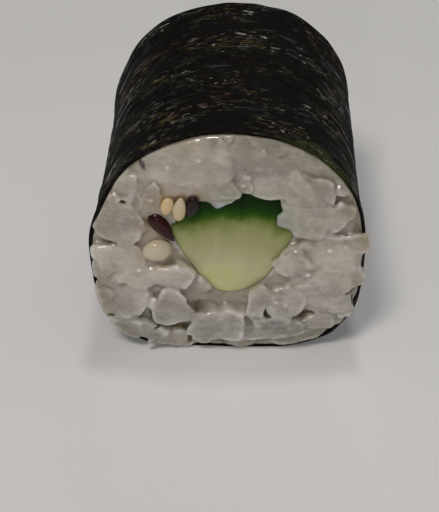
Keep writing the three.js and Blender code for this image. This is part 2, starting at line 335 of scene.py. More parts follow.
# Lights: name, place in metres, size, power and colour
LIGHT_TARGET = (0, -10, 12)
LIGHTS = [
    ("key", (-0.1, -0.22, 0.4), 0.1, 0.74, (1, 0.97, 0.94)),
    ("fill", (0.25, -0.4, 0.25), 0.3, 0.045, (1, 0.99, 0.98)),
    ("spark", (-0.05, -0.42, 0.16), 0.013, 0.13, (1, 1, 1)),
    ("top", (0.02, 0.06, 0.42), 0.05, 0.22, (1, 0.99, 0.98)),
    ("rear", (0.12, 0.42, 0.26), 0.25, 0.16, (1, 0.99, 0.98)),
]

# The place of the roll in the frame: its right side has no lap, and its two nori edges are level
nori_low, nori_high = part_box("nori")
PLACE = np.array([nori_high[0] / MM - WIDTH / 2, (nori_low[1] + nori_high[1]) / 2 / MM, 0.0])


def smoothstep(value, low, high):
    part = np.clip((value - low) / (high - low), 0, 1)
    return part * part * (3 - 2 * part)


def mix(low, high, share):
    return low + (high - low) * share


def cell_corners(cell, part):
    """For each corner of the cells, its numbers and its share in the places inside."""
    for corner in range(8):
        share = np.ones_like(part[..., 0])
        index = []
        for axis in range(3):
            far = (corner >> axis) & 1
            share *= part[..., axis] if far else 1 - part[..., axis]
            index.append(cell[..., axis] + far)
        yield index, share


def smooth_noise(points, wavelength, seed, channels=1):
    """Value noise from -1 to 1. The wavelength is one number or one for each axis."""
    size = 32
    random = np.random.default_rng(seed)
    lattice = random.uniform(-1, 1, (size, size, size, channels)).astype(np.float32)
    scaled = points / np.asarray(wavelength, dtype=np.float32)
    cell = np.floor(scaled).astype(np.int32)
    part = (scaled - cell).astype(np.float32)
    part = part * part * (3 - 2 * part)
    total = np.zeros(points.shape[:-1] + (channels,), dtype=np.float32)
    for index, share in cell_corners(cell, part):
        total += share[..., None] * lattice[tuple(numbers % size for numbers in index)]
    return total if channels > 1 else total[..., 0]


# ---- sections

def section_radius(angle):
    power = np.where(np.sin(angle) >= 0, TOP_POWER, BOTTOM_POWER)
    across = np.abs(np.cos(angle)) / (WIDTH / 2)
    up = np.abs(np.sin(angle)) / ((HEIGHT + FLAT_DEPTH) / 2)
    return (across ** power + up ** power) ** (-1 / power)


def section_point(angle, inset):
    radius = section_radius(angle) - inset
    return radius * np.cos(angle), np.maximum(MIDDLE_UP + radius * np.sin(angle), inset)


def place_within(angle, inset, reach):
    """The place at an angle, a share of the way from the middle to the inset outline."""
    across, up = section_point(angle, inset)
    return float(across) * reach, MIDDLE_UP + (float(up) - MIDDLE_UP) * reach


def beyond_section(across, up):
    """How far places lie outside the plain section, and their angles round its middle."""
    angle = np.arctan2(up - MIDDLE_UP, across)
    return np.hypot(across, up - MIDDLE_UP) - section_radius(angle), angle


def lumps(angle, along, up):
    """How far the nori swells over the grains under it. The flat underside has no lumps."""
    around = 13.0
    where = np.stack([around * np.cos(angle), around * np.sin(angle), along], -1).astype(np.float32)
    swell = 0.16 * smooth_noise(where, 7.0, 5) + 0.07 * smooth_noise(where, 2.8, 6)
    return swell * smoothstep(up, 0.4, 5.0)


def lap_lift(turned):
    """How far the sheet has climbed onto its inner end, after so many degrees of its turn."""
    return smoothstep(turned, 360 - LAP_RAMP, 355) * (SHEET + LAP_AIR)


def strip_outline(steps):
    """The strip's section, with so many points for each of its curves."""
    corners, handles = np.array(STRIP_CORNERS), np.array(STRIP_HANDLES)
    points = []
    for start, handle, stop in zip(corners, handles, corners[1:]):
        for step in range(steps):
            share = step / steps
            rest = 1 - share
            points.append(rest ** 2 * start + 2 * share * rest * handle + share ** 2 * stop)
    return np.array(points)


def grown_outline(points, distance):
    along = np.roll(points, -1, 0) - np.roll(points, 1, 0)
    along /= np.linalg.norm(along, axis=1)[:, None]
    return points + distance * np.stack([along[:, 1], -along[:, 0]], -1)


def distance_to_line(points, line):
    """The distance from points, an (..., 2) array, to a line of straight stretches."""
    best = np.full(points.shape[:-1], np.inf)
    for start, stop in zip(line, line[1:]):
        stretch = stop - start
        offset = points - start
        share = np.clip((offset @ stretch) / (stretch @ stretch), 0, 1)
        gap = offset - share[..., None] * stretch
        best = np.minimum(best, np.hypot(gap[..., 0], gap[..., 1]))
    return best


def closed(outline):
    return np.concatenate([outline, outline[:1]])


def inside_outline(points, outline):
    inside = np.zeros(points.shape[:-1], dtype=bool)
    for start, stop in zip(outline, np.roll(outline, -1, 0)):
        crosses = (start[1] > points[..., 1]) != (stop[1] > points[..., 1])
        rise = stop[1] - start[1] if stop[1] != start[1] else 1.0
        where = start[0] + (points[..., 1] - start[1]) * (stop[0] - start[0]) / rise
        inside ^= crosses & (points[..., 0] < where)
    return inside


def signed_distance(points, outline):
    distance = distance_to_line(points, closed(outline))
    return np.where(inside_outline(points, outline), -distance, distance)


# ---- layout of grains and seeds

def random_numbers(seed):
    """The same seeded random numbers as in the CAD source."""
    state = seed
    whole = 0xFFFFFFFF

    def draw():
        nonlocal state
        state = (state + 0x6D2B79F5) & whole
        mixed = ((state ^ (state >> 15)) * (1 | state)) & whole
        product = ((mixed ^ (mixed >> 7)) * (61 | mixed)) & whole
        mixed = ((mixed + product) ^ mixed) & whole
        return (mixed ^ (mixed >> 14)) / 4294967296

    return draw


def is_clear(across, up, others, spacing, outline):
    """Whether a place is far enough from the others, and outside an outline."""
    apart = all(hypot(other.across - across, other.up - up) > spacing for other in others)
    return apart and not inside_outline(np.array([across, up]), outline)


def grains_by_rule(draw, placed, foot_proud):
    """Grains from the rim inwards, lying round the roll at the rim and every way in the middle."""
    channel = grown_outline(strip_outline(6), GAP)
    grains = []
    for attempt in range(GRAIN_TRIES):
        angle = 2 * pi * draw()
        reach = sqrt(1 - attempt / GRAIN_TRIES)
        across, up = place_within(angle, SHEET + GAP + GRAIN_WIDTH[0] / 2, reach)
        length = mix(*GRAIN_LENGTH, draw())
        width = mix(*GRAIN_WIDTH, draw())
        turn_spread = mix(*TURN_SPREAD, reach)
        turn = degrees(angle) + 90 + (draw() - 0.5) * turn_spread
        proud = mix(foot_proud, TOP_PROUD, up / HEIGHT) + (draw() - 0.5) * PROUD_SPREAD
        if is_clear(across, up, placed + grains, GRAIN_SPACING, channel):
            grains.append(Grain(across, up, length, width, turn, proud))
    return grains


def seeds_by_rule(draw):
    """Sesame seeds along an arc over the strip, white and black in turn."""
    seeds = []
    for count in range(BACK_SEEDS):
        share = (count + draw() * SEED_DRIFT) / BACK_SEEDS
        angle = radians(mix(*SEED_ARC, share))
        reach = mix(*SEED_REACH, draw())
        across = reach * cos(angle)
        up = MIDDLE_UP + reach * sin(angle)
        kind = "black" if count % 2 else "white"
        look = (kind, count / BACK_SEEDS, SEED_POINT)
        seeds.append(Seed(across, up, SEED_LENGTH, SEED_WIDTH, 180 * draw(), SEED_PROUD, *look))
    return seeds


def with_dips(rows, draw):
    return [(row, radians(GRAIN_DIP * (2 * draw() - 1))) for row in rows]


def filled(cut):
    """A cut with its grains and seeds by rule added, and with a dip for each."""
    draw = random_numbers(cut["stream"])
    placed = [Grain(*row) for row in cut["grains"]]
    grains = with_dips(placed + grains_by_rule(draw, placed, cut["foot_proud"]), draw)
    seeds = [Seed(*row) for row in cut["seeds"]] or seeds_by_rule(draw)
    smears = [Grain(*row) for row in cut["smears"]]
    return {**cut, "grains": grains, "seeds": with_dips(seeds, draw), "smears": smears}


# ---- rice

def rounded_min(one, other, blend):
    share = np.clip(0.5 + 0.5 * (other - one) / blend, 0, 1)
    return mix(other, one, share) - blend * share * (1 - share)


def rounded_max(one, other, blend):
    return -rounded_min(-one, -other, blend)


def grain_distance(points, grain, thickness, dip, breaks, seed):
    """The distance to a blunt, uneven grain with broken sides and a sliced top."""
    random = np.random.default_rng(seed)
    shift = 0.34 * smooth_noise(points, 2.2, seed, 3) + 0.2 * smooth_noise(points, 0.8, seed + 1, 3)
    middle_out = grain.proud + GRAIN_LIFT * thickness - thickness / 2
    offset = points + shift - np.array([grain.across, grain.up, middle_out], dtype=np.float32)
    turned = radians(grain.turn)
    along = offset[..., 0] * cos(turned) + offset[..., 1] * sin(turned)
    aside = offset[..., 1] * cos(turned) - offset[..., 0] * sin(turned)
    halves = (grain.length / 2 * GRAIN_PLUMPNESS, grain.width / 2 * GRAIN_PLUMPNESS, thickness / 2)
    aside = aside / (1 + grain.taper * np.clip(along / halves[0], -1.2, 1.2))
    broken = []
    for facing in random.uniform(0, 2 * pi, breaks):
        ahead, left = cos(facing), sin(facing)
        reach = hypot(halves[0] * ahead, halves[1] * left) * random.uniform(0.78, 0.96)
        broken.append(along * ahead + aside * left - reach)

    out = offset[..., 2] * cos(dip) - along * sin(dip)
    along = along * cos(dip) + offset[..., 2] * sin(dip)
    shares = [np.abs(value) / half + 1e-5 for value, half in zip((along, aside, out), halves)]
    size = sum(share ** GRAIN_POWER for share in shares) ** (1 / GRAIN_POWER)
    slopes = [(share / size) ** (GRAIN_POWER - 1) / half for share, half in zip(shares, halves)]
    body = (size - 1) / np.sqrt(sum(slope ** 2 for slope in slopes))
    for side in broken:
        body = rounded_max(body, side, 0.15)
    tilt = GRAIN_TILT * random.uniform(-1, 1, 2)
    sliced = points[..., 2] - grain.proud
    sliced = sliced - tilt[0] * (points[..., 0] - grain.across) - tilt[1] * (points[..., 1] - grain.up)
    return rounded_max(body, sliced, 0.2)


def knife_height(up):
    return mix(*KNIFE_OUT, np.clip(up / HEIGHT, 0, 1))


def fused_share(across, up):
    """Where the front cut's grains have run together."""
    foot = smoothstep(across, -4.5, -3) * smoothstep(-up, -6.5, -5)
    right = smoothstep(across, 2, 4.5) * smoothstep(-up, -15, -12)
    left = LEFT_FUSED * smoothstep(-across, 5, 7) * smoothstep(up, 6.5, 9) * smoothstep(-up, -21, -19)
    return np.maximum(np.maximum(foot, right), left)


def near_slices(axes, middle, spans):
    """The part of a grid that lies within the spans of a middle."""
    return tuple(
        slice(*np.searchsorted(values, (centre - span, centre + span)))
        for values, centre, span in zip(axes, middle, spans)
    )


def surface_out(field, axes, across, up):
    """How far out of the cut the rice's surface lies at a place."""
    column = field[np.searchsorted(axes[0], across), np.searchsorted(axes[1], up)]
    return axes[2][np.flatnonzero(column < 0)[-1]]


def bits_by_rule(random, axes, field):
    """Broken bits on the surface so far, each sunk a little into it, clear of the strip."""
    channel = grown_outline(strip_outline(6), BIT_ROOM)
    bits = []
    for _ in range(BIT_TRIES):
        angle = random.uniform(0, 2 * pi)
        reach = sqrt(random.uniform(0.08, 1))
        across, up = place_within(angle, SHEET + mix(0.3, 1.3, max(0, sin(angle))), reach)
        if not is_clear(across, up, bits, BIT_SPACING, channel):
            continue
        smear = float(smoothstep(up, 17.5, 20.5))
        sunk = mix(random.uniform(-0.22, 0.1), random.uniform(-0.25, 0.0), smear)
        proud = surface_out(field, axes, across, up) + sunk
        length = random.uniform(*BIT_LENGTH)
        width = random.uniform(*BIT_WIDTH)
        bits.append(Grain(across, up, length, width, random.uniform(0, 180), proud))
    return bits


def grid_over(pitch, *spans):
    """The axes of a grid over three spans, and its places."""
    axes = [np.arange(*span, pitch) for span in spans]
    return axes, np.stack(np.meshgrid(*axes, indexing="ij"), -1)


def paste_recess(flat, strip, seed):
    """How far the paste between the grains lies back from the cut."""
    across, up = flat[..., 0], flat[..., 1]
    recess = mix(SIDE_RECESS, OPEN_RECESS, smoothstep(strip, 0.4, 2.2))
    recess = mix(FOOT_RECESS, recess, smoothstep(up, 3.5, 7.5))
    recess = mix(recess, TOP_RECESS, smoothstep(up, 16, 21))
    recess += 0.3 * smooth_noise(np.dstack([flat, 0 * across]), 2.6, seed)
    beyond, _ = beyond_section(across, up)
    return mix(recess, RIM_RECESS, smoothstep(beyond, -1.7, -0.6))


def rice_field(end, cut):
    """Distances to the rice near one cut, on a grid of across, up and out, and each place's tone."""
    pitch = cut["pitch"]
    seed = cut["noise"]
    wide = (-WIDTH / 2 - 1, WIDTH / 2 + 1)
    high = (-2 * pitch, HEIGHT + 3 * pitch)
    axes, grid = grid_over(pitch, wide, high, (-CAP_DEPTH - 2 * pitch, GRID_OUT))
    grid = grid.astype(np.float32)
    across, up, out = np.moveaxis(grid, -1, 0)
    flat = grid[:, :, 0, :2].astype(float)
    strip = signed_distance(flat, strip_outline(12))
    over_strip = smoothstep(-strip, -0.2, 0.5)
    recess = paste_recess(flat, strip, seed) + over_strip
    field = out + recess[..., None].astype(np.float32)
    tone = np.full(field.shape, 0.3, dtype=np.float32)
    fused = fused_share(across, up) if end == FRONT else np.zeros(field.shape)
    random = np.random.default_rng(seed)

    def add(grains, blend, breaks, number):
        for grain, thickness, dip in grains:
            number += 2
            reach = grain.length / 2 * GRAIN_PLUMPNESS + GRAIN_MARGIN
            middle = (grain.across, grain.up, grain.proud - thickness / 2)
            part = near_slices(axes, middle, (reach, reach, thickness + GRAIN_MARGIN))
            distance = grain_distance(grid[part], grain, thickness, dip, breaks, number)
            closer = smoothstep(field[part] - distance, -0.12, 0.12)
            tone[part] = mix(tone[part], random.uniform(0, 1), closer)
            field[part] = rounded_min(field[part], distance, mix(blend, FUSED_BLEND, fused[part]))

    grains = [(grain, min(grain.width, GRAIN_THICKNESS), dip) for grain, dip in cut["grains"]]
    add(grains, cut["blend"], GRAIN_BREAKS, seed)
    add([(smear, SMEAR_THICKNESS, 0.0) for smear in cut["smears"]], SMEAR_BLEND, 0, seed + 200)
    bits = bits_by_rule(random, axes, field)
    add([(bit, BIT_THICKNESS, 0.0) for bit in bits], BIT_BLEND, 1, seed + 250)

    # The knife's slice, and small unevenness with streaks low on the right
    knife = knife_height(up) + 0.12 * smooth_noise(grid, (4.0, 4.0, 9.0), 18)
    field = rounded_max(field, out - knife, 0.25)
    field += 0.08 * smooth_noise(grid, 1.3, 19) + 0.02 * smooth_noise(grid, 0.5, 22)
    streaks = 0.4 + 0.6 * smoothstep(across, -3, 5) * smoothstep(-up, -16, -12)
    field += 0.07 * streaks * smooth_noise(grid, (2.6, 0.5, 3.0), 20)

    for start, stop, half_width in cut["gaps"]:
        reach = distance_to_line(flat, np.array([start, stop]))
        slit = rounded_max(reach[..., None] - half_width, -GAP_DEPTH / 2 - out, 0.3)
        field = rounded_max(field, -slit, 0.15)

    for place in cut["beads"]:
        middle = (*place, surface_out(field, axes, *place) + BEAD_RISE - BEAD_RADIUS)
        part = near_slices(axes, middle, (1, 1, 1))
        bead = np.linalg.norm(grid[part] - np.array(middle, dtype=np.float32), axis=-1) - BEAD_RADIUS
        field[part] = rounded_min(field[part], bead, BEAD_BLEND)

    # Room for the strip, with a thin lap of rice over its edge
    field += FILM * over_strip[..., None]
    cover = mix(FOOT_COVER, cut["cover"], smoothstep(flat[..., 1], 9.4, 11.2))
    field = rounded_max(field, (-strip - cover)[..., None], 0.3)
    channel = np.maximum(strip[..., None], out + STRIP_RECESS) - TOUCH
    field = np.maximum(field, -channel)

    # Inside the nori, and bulging over its edge in the lower half
    beyond, angle = beyond_section(across, up)
    beyond -= lumps(angle, end * (LENGTH / 2 + out), up)
    beyond -= lap_lift((np.degrees(angle) - LAP_START) % 360)
    outer_inset = mix(-OVERHANG, SHEET + TOUCH, smoothstep(up, 13.5, 17.5))
    inset = mix(SHEET + TOUCH, outer_inset, smoothstep(out, 0.02, 0.3))
    field = rounded_max(field, beyond + inset, 0.1)
    field = np.maximum(field, np.maximum(inset, TOUCH) - up)
    field = np.maximum(field, -CAP_DEPTH - out)
    return field, tone, axes


def field_surface(field, axes, pitch):
    limit = 3 * pitch
    volume = openvdb.FloatGrid(limit)
    volume.copyFromArray(np.clip(field, -limit, limit).astype(np.float32))
    points, quads = volume.convertToQuads(isovalue=0.0)
    return largest_body(points * pitch + [values[0] for values in axes], quads)


def largest_body(points, faces):
    """The largest connected body, without the loose scraps."""
    label = np.arange(len(points))
    sides = range(faces.shape[1])
    pairs = np.concatenate([faces[:, [side, (side + 1) % len(sides)]] for side in sides])
    while True:
        lowest = label.copy()
        np.minimum.at(lowest, pairs[:, 0], label[pairs[:, 1]])
        np.minimum.at(lowest, pairs[:, 1], label[pairs[:, 0]])
        lowest = lowest[lowest]
        if np.array_equal(lowest, label):
            break
        label = lowest
    names, counts = np.unique(label, return_counts=True)
    kept = label == names[counts.argmax()]
    renumbered = np.cumsum(kept) - 1
    return points[kept], renumbered[faces[kept[faces].all(1)]]


def blurred(field, reach):
    """The field averaged over a box of cells that reaches this many cells to each side."""
    total = field
    for axis in range(3):
        width = 2 * reach + 1
        padding = [(reach + 1, reach) if other == axis else (0, 0) for other in range(3)]
        running = np.cumsum(np.pad(total, padding, mode="edge"), axis=axis, dtype=np.float64)
        count = total.shape[axis]
        high = np.take(running, np.arange(width, width + count), axis=axis)
        low = np.take(running, np.arange(count), axis=axis)
        total = ((high - low) / width).astype(np.float32)
    return total


def sampled(field, points, axes, pitch):
    """The field's values at points, blended from the eight grid places round each."""
    scaled = (points - [values[0] for values in axes]) / pitch
    cell = np.clip(np.floor(scaled).astype(int), 0, np.array(field.shape) - 2)
    total = np.zeros(len(points))
    for index, share in cell_corners(cell, scaled - cell):
        total += share * field[tuple(index)]
    return total


def floor_closed_coarsely(points, faces, floor):
    """Swaps the fine flat floor of a cap, which nothing shows, for a few large faces."""
    mesh = bmesh.new()
    corners = [mesh.verts.new(point) for point in points]
    for face in faces:
        mesh.faces.new([corners[corner] for corner in face])
    low = [face for face in mesh.faces if all(abs(corner.co.z - floor) < 1e-3 for corner in face.verts)]
    bmesh.ops.delete(mesh, geom=low, context="FACES")
    open_edges = [edge for edge in mesh.edges if edge.is_boundary]
    bmesh.ops.triangle_fill(mesh, edges=open_edges, use_beauty=False, use_dissolve=False, normal=(0, 0, -1))
    mesh.verts.index_update()
    new_points = np.array([corner.co for corner in mesh.verts])
    new_faces = [[corner.index for corner in face.verts] for face in mesh.faces]
    mesh.free()
    return new_points, new_faces


def rice_end(end, cut):
    """The rice of one cut, and the pockets, ridges and tone of its points."""
    pitch = cut["pitch"]
    field, tone, axes = rice_field(end, cut)
    points, faces = field_surface(field, axes, pitch)
    points, faces = floor_closed_coarsely(points, faces, points[:, 2].min())
    ridge = sampled(blurred(field, round(RIDGE_REACH / pitch)), points, axes, pitch)
    across, up, out = points.T
    # Painted shade: the tone is darker at the foot, on the right and low on the left
    tone = sampled(tone, points, axes, pitch) * mix(FOOT_SHADE_TONE, 1, smoothstep(up, 1, 8))
    low_left = smoothstep(-across, 6, 9) * smoothstep(-up, -13, -11)
    tone *= mix(1, SHADED_TONE, np.maximum(smoothstep(across, 3, 9), low_left))
    pocket = np.clip((knife_height(up) - out - POCKET_START) / POCKET_DEPTH, 0, 1)
    if end == BACK:
        faces = turned_over(faces)
    return np.stack([across, end * (LENGTH / 2 + out), up], -1), faces, np.stack([pocket, ridge, tone], -1)


def rice_core():
    """The hidden middle of the rice, between the two cuts."""
    half = LENGTH / 2 - CAP_DEPTH - TOUCH
    pitch = CORE_PITCH
    wide = (-WIDTH / 2 - pitch, WIDTH / 2 + 2 * pitch)
    high = (-2 * pitch, HEIGHT + 2 * pitch)
    axes, grid = grid_over(pitch, wide, (-half - 2 * pitch, half + 3 * pitch), high)
    across, along, up = np.moveaxis(grid, -1, 0)
    beyond, angle = beyond_section(across, up)
    beyond -= lumps(angle, along, up)
    field = np.maximum(beyond + SHEET + TOUCH, SHEET + TOUCH - up)
    strip = signed_distance(grid[:, 0, :, ::2], strip_outline(12))[:, None, :]
    field = np.maximum(field, TOUCH - strip)
    field = np.maximum(field, np.abs(along) - half)
    points, faces = field_surface(field, axes, pitch)
    return points, faces.tolist(), np.zeros((len(points), 3))


# ---- meshes

def to_frame(points):
    """Roll coordinates to the frame's metres, with the roll's slight waist."""
    share = 1 - WAIST * (1 - (points[:, 1] / (LENGTH / 2)) ** 4)
    return (points * np.stack([share, np.ones(len(points)), share], -1) + PLACE) * MM


def add_object(name, data):
    thing = bpy.data.objects.new(name, data)
    bpy.context.scene.collection.objects.link(thing)
    return thing


def make_piece(name, points, faces, material, attributes):
    """A smooth piece. Its attributes have one value or one vector for each point."""
    mesh = bpy.data.meshes.new(name)
    mesh.from_pydata(to_frame(np.asarray(points, dtype=float)).tolist(), [], [list(face) for face in faces])
    mesh.polygons.foreach_set("use_smooth", [True] * len(mesh.polygons))
    for label, values in attributes.items():
        values = np.asarray(values, dtype=np.float32)
        kind, key = ("FLOAT_VECTOR", "vector") if values.ndim == 2 else ("FLOAT", "value")
        layer = mesh.attributes.new(label, kind, "POINT")
        layer.data.foreach_set(key, values.ravel())
    mesh.materials.append(material)
    mesh.validate()
    piece = add_object(name, mesh)
    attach(piece, "root")
    return piece


def joined(parts):
    """Several sets of points, faces and values as one."""
    faces = []
    count = 0
    for part_points, part_faces, _ in parts:
        faces += [[corner + count for corner in face] for face in part_faces]
        count += len(part_points)
    points, _, values = zip(*parts)
    return np.concatenate(points), faces, np.concatenate(values)


def turned_over(faces):
    return [face[::-1] for face in faces]


def make_rice(cuts, material):
    parts = [rice_end(FRONT, cuts[FRONT]), rice_core(), rice_end(BACK, cuts[BACK])]
    points, faces, values = joined(parts)
    pocket, ridge, tone = values.T
    across, along, up = points.T
    to_skin = distance_to_line(points[:, ::2], strip_outline(12)[SKIN_START * 12:])
    depth = -beyond_section(across, up)[0]
    seeds = [
        (seed.across, end * (LENGTH / 2 + seed.proud), seed.up)
        for end in cuts
        for seed, _ in cuts[end]["seeds"]
    ]
    to_seed = np.min([np.linalg.norm(points - seed, axis=1) for seed in seeds], axis=0)
    to_scrap = distance_to_line(points[:, ::2], np.array(SCRAP))
    to_scrap += 0.2 * smooth_noise(points, 0.6, 71)
    attributes = {
        "scrap": (1 - smoothstep(to_scrap, 0.12, 0.22)) * (along < 0),
        "near_seed": 1 - smoothstep(to_seed, 1.2, 3.0),
        "pocket": pocket,
        "ridge": ridge,
        "tone": tone,
        "low": 1 - smoothstep(up, 3.0, 12.0),
        "rim": 1 - smoothstep(depth, 0.4, 2.6),
        "crown": (1 - smoothstep(depth, 0.5, 1.5)) * smoothstep(up, 12, 17),
        "near_skin": 1 - smoothstep(to_skin, 0.1, 1.4),
    }
    rice = make_piece("rice_grains", points, faces, material, attributes)
    return rice


def grid_faces(rows, columns, first=0, ring=False):
    """Faces of points that are numbered row by row. Each row may be a closed ring."""
    faces = []
    for low in range(first, first + (rows - 1) * columns, columns):
        high = low + columns
        for column in range(columns if ring else columns - 1):
            after = (column + 1) % columns
            faces.append((low + column, low + after, high + after, high + column))
    return faces


def make_nori(material):
    """One sheet as a closed thin wall: outer side, inner side, and a strip round the edge."""
    columns, rows = 206, 216
    turned = np.linspace(0, 360 + LAP_LENGTH, columns)
    angle = np.radians(LAP_START + turned)
    lift = lap_lift(turned)
    along_sheet = np.cumsum(np.append(0, np.diff(angle) * section_radius(angle[1:])))
    share = np.linspace(-1, 1, rows)
    ragged = 0.12 + 0.1 * smooth_noise(np.stack([along_sheet, lift, lift], -1), 1.6, 31)
    along = share[:, None] * (LENGTH / 2 - ragged[None, :])

    sheet = np.stack([np.broadcast_to(along_sheet, along.shape), along, np.zeros_like(along)], -1)
    ripples = 0.075 * smooth_noise(sheet, (7.0, 0.8, 1.0), 33)
    ripples = ripples + 0.035 * smooth_noise(sheet, (2.2, 0.42, 1.0), 34)
    angles = np.broadcast_to(angle, along.shape)
    height = section_point(angles, 0.0)[1]
    swell = lumps(angles, along, height)
    settled = smoothstep(height, 0.05, 1.5)

    walls = []
    for inset in (-(lift + swell + (ripples - 0.05) * settled), SHEET - lift - swell):
        across, up = section_point(angles, inset)
        walls.append(np.stack([across, along, up], -1).reshape(-1, 3))
    count = rows * columns
    faces = turned_over(grid_faces(rows, columns)) + grid_faces(rows, columns, count)
    numbers = np.arange(count).reshape(rows, columns)
    border = [numbers[0], numbers[1:, -1], numbers[-1, -2::-1], numbers[-2:0:-1, 0]]
    border = np.concatenate(border).tolist()
    for start, stop in zip(border, border[1:] + border[:1]):
        faces.append((count + stop, count + start, start, stop))

    flat = sheet.reshape(-1, 3)
    from_thin = (np.degrees(angles) - 360 - THIN_TURN) / THIN_SPREAD
    to_thin = np.hypot(from_thin, (along + LENGTH / 2) / THIN_DEPTH)
    attributes = {
        "sheet": np.concatenate([flat, flat + [0, 0, 1]]),
        "flank": np.tile(np.abs(np.cos(angles)).ravel(), 2),
        "thin": np.tile(1 - smoothstep(to_thin, 0.3, 1).ravel(), 2),
    }
    nori = make_piece("nori_wrap", np.concatenate(walls), faces, material, attributes)
    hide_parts("nori")


def make_cucumber(material):
    """The strip, with rings of points across both cut ends."""
    outline = strip_outline(24)
    count = len(outline)
    middle = STRIP_MIDDLE
    half = LENGTH / 2 - STRIP_RECESS
    front = []
    for share in np.linspace(0, 1, STRIP_RINGS + 1)[1:] ** 0.9:
        flat = middle + share * (outline - middle)
        where = np.column_stack([flat, np.zeros(count)])
        relief = 0.06 * smooth_noise(where, 2.2, 41) + 0.03 * smooth_noise(where, 0.7, 42)
        relief = relief - 0.1 * share ** 12
        front.append(np.insert(flat, 1, -half - relief, axis=1))
    steps = np.linspace(-half + 0.3, half - 0.3, 28)
    sides = [np.insert(outline, 1, step, axis=1) for step in steps]
    back = [ring * [1, -1, 1] for ring in reversed(front)]
    rings = front + sides + back
    points = np.concatenate(rings + [[[middle[0], end * half, middle[1]]] for end in (FRONT, BACK)])
    quads = grid_faces(len(rings), count, ring=True)
    faces = [(two, one, four, three) for one, two, three, four in quads]
    front_middle, back_middle = len(points) - 2, len(points) - 1
    last_ring = front_middle - count
    for index in range(count):
        after = (index + 1) % count
        faces.append((index, after, front_middle))
        faces.append((last_ring + after, last_ring + index, back_middle))

    section = points[:, ::2]
    skin = distance_to_line(section, closed(outline)[SKIN_START * 24:])
    to_core = np.linalg.norm((section - CORE_MIDDLE) / CORE_REACH, axis=1)
    attributes = {
        "skin": mix(STRIP_TOP - points[:, 2], skin, 0.3),
        "edge": distance_to_line(section, closed(outline)),
        "core": 1 - smoothstep(to_core, 0.35, 1),
    }
    strip = make_piece("cucumber_strip", points, faces, material, attributes)
    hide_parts("cucumber")


def seed_body(seed, dip, end):
    """A sesame seed: a flat drop, pointed at one end, as rings round its long axis."""
    rings, sides = 22, 20
    thickness = SEED_FLATNESS * seed.width
    turned = radians(seed.turn)
    points = []
    for ring in range(rings + 1):
        share = ring / rings
        along = -cos(pi * share) * seed.length / 2
        belly = sin(pi * share ** seed.point)
        for side in range(sides):
            around = 2 * pi * side / sides
            aside = belly * seed.width / 2 * cos(around)
            out = belly * thickness / 2 * sin(around)
            leaned = along * cos(dip) - out * sin(dip)
            raised = out * cos(dip) + along * sin(dip) + seed.proud - thickness / 2
            points.append((
                seed.across + leaned * cos(turned) - aside * sin(turned),
                end * (LENGTH / 2 + raised),
                seed.up + leaned * sin(turned) + aside * cos(turned),
            ))
    return np.array(points), grid_faces(rings + 1, sides, ring=True)


def welded(points, faces):
    """Joins points that lie on each other, such as a seed's tips, and drops the faces that vanish."""
    keys = np.round(points / 1e-4).astype(np.int64)
    _, first, inverse = np.unique(keys, axis=0, return_index=True, return_inverse=True)
    inverse = inverse.ravel()
    kept = []
    for face in faces:
        corners = list(dict.fromkeys(int(inverse[corner]) for corner in face))
        if len(corners) > 2:
            kept.append(corners)
    return points[first], kept


def make_seeds(cuts, kind, material):
    parts = []
    for end, cut in cuts.items():
        for seed, dip in cut["seeds"]:
            if seed.kind == kind:
                points, faces = welded(*seed_body(seed, dip, end))
                if end == BACK:
                    faces = turned_over(faces)
                parts.append((points, faces, np.full(len(points), seed.toast)))
    points, faces, toasted = joined(parts)
    seeds = make_piece("sesame_" + kind, points, faces, material, {"toasted": toasted})
    return seeds


# ---- materials

